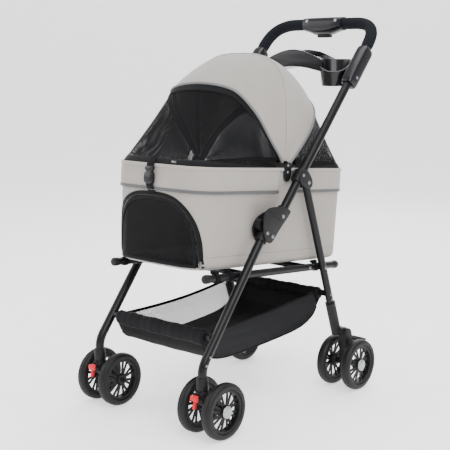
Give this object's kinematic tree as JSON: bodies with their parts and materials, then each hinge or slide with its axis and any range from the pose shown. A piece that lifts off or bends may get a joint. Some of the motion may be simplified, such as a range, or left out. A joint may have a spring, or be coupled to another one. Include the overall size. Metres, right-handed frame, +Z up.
{
  "type": "pet stroller",
  "caption": "Folding pet stroller with a lift-off fabric carrier, mesh windows, folding canopy, arched front door, cup tray, storage basket and twin swivel front wheels.",
  "frame": {"origin": "on the floor under the middle of the bounding box", "axes": "+Z up, the front faces -Y, +X is the pusher's left side"},
  "size_m": [0.5112, 0.7577, 0.9976],
  "materials": {
    "painted_steel": "gloss black",
    "spring_steel": "satin",
    "matte_plastic": "matt black",
    "gloss_plastic": "semi-gloss black",
    "red_plastic": "satin red",
    "tyre": "matt black",
    "foam": "matt foam",
    "grey_fabric": "woven polyester, warm light grey",
    "black_mesh": "open black mesh",
    "black_fabric": "woven black polyester"
  },
  "bodies": {
    "front_frame": {"front_leg_left": "painted_steel", "lower_hinge_left": "matte_plastic", "caster_socket_left": "matte_plastic", "front_leg_right": "painted_steel", "lower_hinge_right": "matte_plastic", "caster_socket_right": "matte_plastic", "front_cross_tube": "painted_steel", "basket": "black_fabric"},
    "handle_frame": {"upper_hinge_left": "matte_plastic", "upper_tube_left": "painted_steel", "rear_bracket_left": "matte_plastic", "handle_sleeve_left": "gloss_plastic", "upper_hinge_right": "matte_plastic", "upper_tube_right": "painted_steel", "rear_bracket_right": "matte_plastic", "handle_sleeve_right": "gloss_plastic", "handle_tube": "painted_steel", "foam_grip": "foam", "grip_housing": "gloss_plastic", "cup_tray": "gloss_plastic"},
    "rear_legs": {"rear_leg_left": "painted_steel", "rear_housing_left": "matte_plastic", "rear_leg_right": "painted_steel", "rear_housing_right": "matte_plastic", "rear_cross_tube": "painted_steel"},
    "seat_base": {"seat_base": "painted_steel"},
    "carrier": {"cabin": "grey_fabric", "buckle_lower": "matte_plastic", "canopy_rear": "grey_fabric", "mesh_rear": "black_mesh", "pivot_plate_left": "matte_plastic", "pivot_plate_right": "matte_plastic"},
    "canopy_hoop": {"canopy_front": "grey_fabric"},
    "front_hoop": {"front_bow": "spring_steel", "mesh_front": "black_mesh"},
    "door": {"door_panel": "black_mesh"},
    "buckle": {"buckle_upper": "matte_plastic"},
    "release_button": {"release_button": "matte_plastic"},
    "caster_left": {"caster_fork_left": "matte_plastic"},
    "swivel_lock_left": {"swivel_lock_left": "red_plastic"},
    "brake_pedal_left": {"brake_pedal_left": "matte_plastic"},
    "front_wheel_left_outer": {"front_tyre_left_outer": "tyre", "front_rim_left_outer": "matte_plastic"},
    "rear_wheel_left_outer": {"rear_tyre_left_outer": "tyre", "rear_rim_left_outer": "matte_plastic"},
    "front_wheel_left_inner": {"front_tyre_left_inner": "tyre", "front_rim_left_inner": "matte_plastic"},
    "rear_wheel_left_inner": {"rear_tyre_left_inner": "tyre", "rear_rim_left_inner": "matte_plastic"},
    "caster_right": {"caster_fork_right": "matte_plastic"},
    "swivel_lock_right": {"swivel_lock_right": "red_plastic"},
    "brake_pedal_right": {"brake_pedal_right": "matte_plastic"},
    "front_wheel_right_outer": {"front_tyre_right_outer": "tyre", "front_rim_right_outer": "matte_plastic"},
    "rear_wheel_right_outer": {"rear_tyre_right_outer": "tyre", "rear_rim_right_outer": "matte_plastic"},
    "front_wheel_right_inner": {"front_tyre_right_inner": "tyre", "front_rim_right_inner": "matte_plastic"},
    "rear_wheel_right_inner": {"rear_tyre_right_inner": "tyre", "rear_rim_right_inner": "matte_plastic"}
  },
  "joints": [
    {"name": "frame_fold", "type": "hinge", "parent": "front_frame", "child": "handle_frame", "pos_m": [0, -0.10882, 0.45076], "axis": [-1, 0, 0], "range_deg": [0, 122], "deforming": ["basket"]},
    {"name": "rear_leg_swing", "type": "hinge", "parent": "handle_frame", "child": "rear_legs", "pos_m": [0, 0.04245, 0.56837], "axis": [1, 0, 0], "range_deg": [0, 74]},
    {"name": "seat_base_swing", "type": "hinge", "parent": "front_frame", "child": "seat_base", "pos_m": [0, -0.19845, 0.36329], "axis": [-1, 0, 0], "range_deg": [0, 86]},
    {"name": "carrier_lift", "type": "slide", "parent": "front_frame", "child": "carrier", "axis": [0, 0, 1], "range_m": [0, 0.56]},
    {"name": "canopy_fold", "type": "hinge", "parent": "carrier", "child": "canopy_hoop", "pos_m": [0, -0.00409, 0.6088], "axis": [-1, 0, 0], "range_deg": [0, 36], "deforming": ["mesh_front", "canopy_front"]},
    {"name": "front_bow_fold", "type": "hinge", "parent": "canopy_hoop", "child": "front_hoop", "pos_m": [0, -0.00409, 0.6088], "axis": [-1, 0, 0], "range_deg": [0, 36], "deforming": ["mesh_front"]},
    {"name": "door_flap", "type": "hinge", "parent": "carrier", "child": "door", "pos_m": [0, -0.32866, 0.39762], "axis": [1, 0, 0], "range_deg": [0, 100]},
    {"name": "buckle_release", "type": "slide", "parent": "carrier", "child": "buckle", "axis": [0, 0.0785, 0.9969], "range_m": [0, 0.03]},
    {"name": "handle_button", "type": "slide", "parent": "handle_frame", "child": "release_button", "axis": [0, 0, 1], "range_m": [0, 0.004], "stiffness_N_per_m": 400},
    {"name": "caster_swivel_left", "type": "hinge", "parent": "front_frame", "child": "caster_left", "pos_m": [0.18, -0.34, 0.118], "axis": [0, 0, 1], "continuous": true},
    {"name": "swivel_lock_left", "type": "hinge", "parent": "caster_left", "child": "swivel_lock_left", "pos_m": [0.18, -0.361, 0.106], "axis": [-1, 0, 0], "range_deg": [0, 30]},
    {"name": "brake_pedal_left", "type": "hinge", "parent": "rear_legs", "child": "brake_pedal_left", "pos_m": [0.202, 0.228, 0.116], "axis": [-1, 0, 0], "range_deg": [0, 20]},
    {"name": "front_wheel_left_outer", "type": "hinge", "parent": "caster_left", "child": "front_wheel_left_outer", "pos_m": [0.219, -0.309, 0.068], "axis": [1, 0, 0], "continuous": true},
    {"name": "rear_wheel_left_outer", "type": "hinge", "parent": "rear_legs", "child": "rear_wheel_left_outer", "pos_m": [0.241, 0.205, 0.068], "axis": [1, 0, 0], "continuous": true},
    {"name": "front_wheel_left_inner", "type": "hinge", "parent": "caster_left", "child": "front_wheel_left_inner", "pos_m": [0.141, -0.309, 0.068], "axis": [1, 0, 0], "continuous": true},
    {"name": "rear_wheel_left_inner", "type": "hinge", "parent": "rear_legs", "child": "rear_wheel_left_inner", "pos_m": [0.163, 0.205, 0.068], "axis": [1, 0, 0], "continuous": true},
    {"name": "caster_swivel_right", "type": "hinge", "parent": "front_frame", "child": "caster_right", "pos_m": [-0.18, -0.34, 0.118], "axis": [0, 0, 1], "continuous": true},
    {"name": "swivel_lock_right", "type": "hinge", "parent": "caster_right", "child": "swivel_lock_right", "pos_m": [-0.18, -0.361, 0.106], "axis": [-1, 0, 0], "range_deg": [0, 30]},
    {"name": "brake_pedal_right", "type": "hinge", "parent": "rear_legs", "child": "brake_pedal_right", "pos_m": [-0.202, 0.228, 0.116], "axis": [-1, 0, 0], "range_deg": [0, 20]},
    {"name": "front_wheel_right_outer", "type": "hinge", "parent": "caster_right", "child": "front_wheel_right_outer", "pos_m": [-0.219, -0.309, 0.068], "axis": [1, 0, 0], "continuous": true},
    {"name": "rear_wheel_right_outer", "type": "hinge", "parent": "rear_legs", "child": "rear_wheel_right_outer", "pos_m": [-0.241, 0.205, 0.068], "axis": [1, 0, 0], "continuous": true},
    {"name": "front_wheel_right_inner", "type": "hinge", "parent": "caster_right", "child": "front_wheel_right_inner", "pos_m": [-0.141, -0.309, 0.068], "axis": [1, 0, 0], "continuous": true},
    {"name": "rear_wheel_right_inner", "type": "hinge", "parent": "rear_legs", "child": "rear_wheel_right_inner", "pos_m": [-0.163, 0.205, 0.068], "axis": [1, 0, 0], "continuous": true}
  ],
  "couplings": [
    {"joint": "rear_leg_swing", "follows": "frame_fold", "ratio": 0.582},
    {"joint": "seat_base_swing", "follows": "frame_fold", "ratio": 0.685},
    {"joint": "carrier_lift", "follows": "frame_fold", "m_per_rad": 0.25},
    {"joint": "front_bow_fold", "follows": "canopy_fold", "ratio": 1}
  ]
}
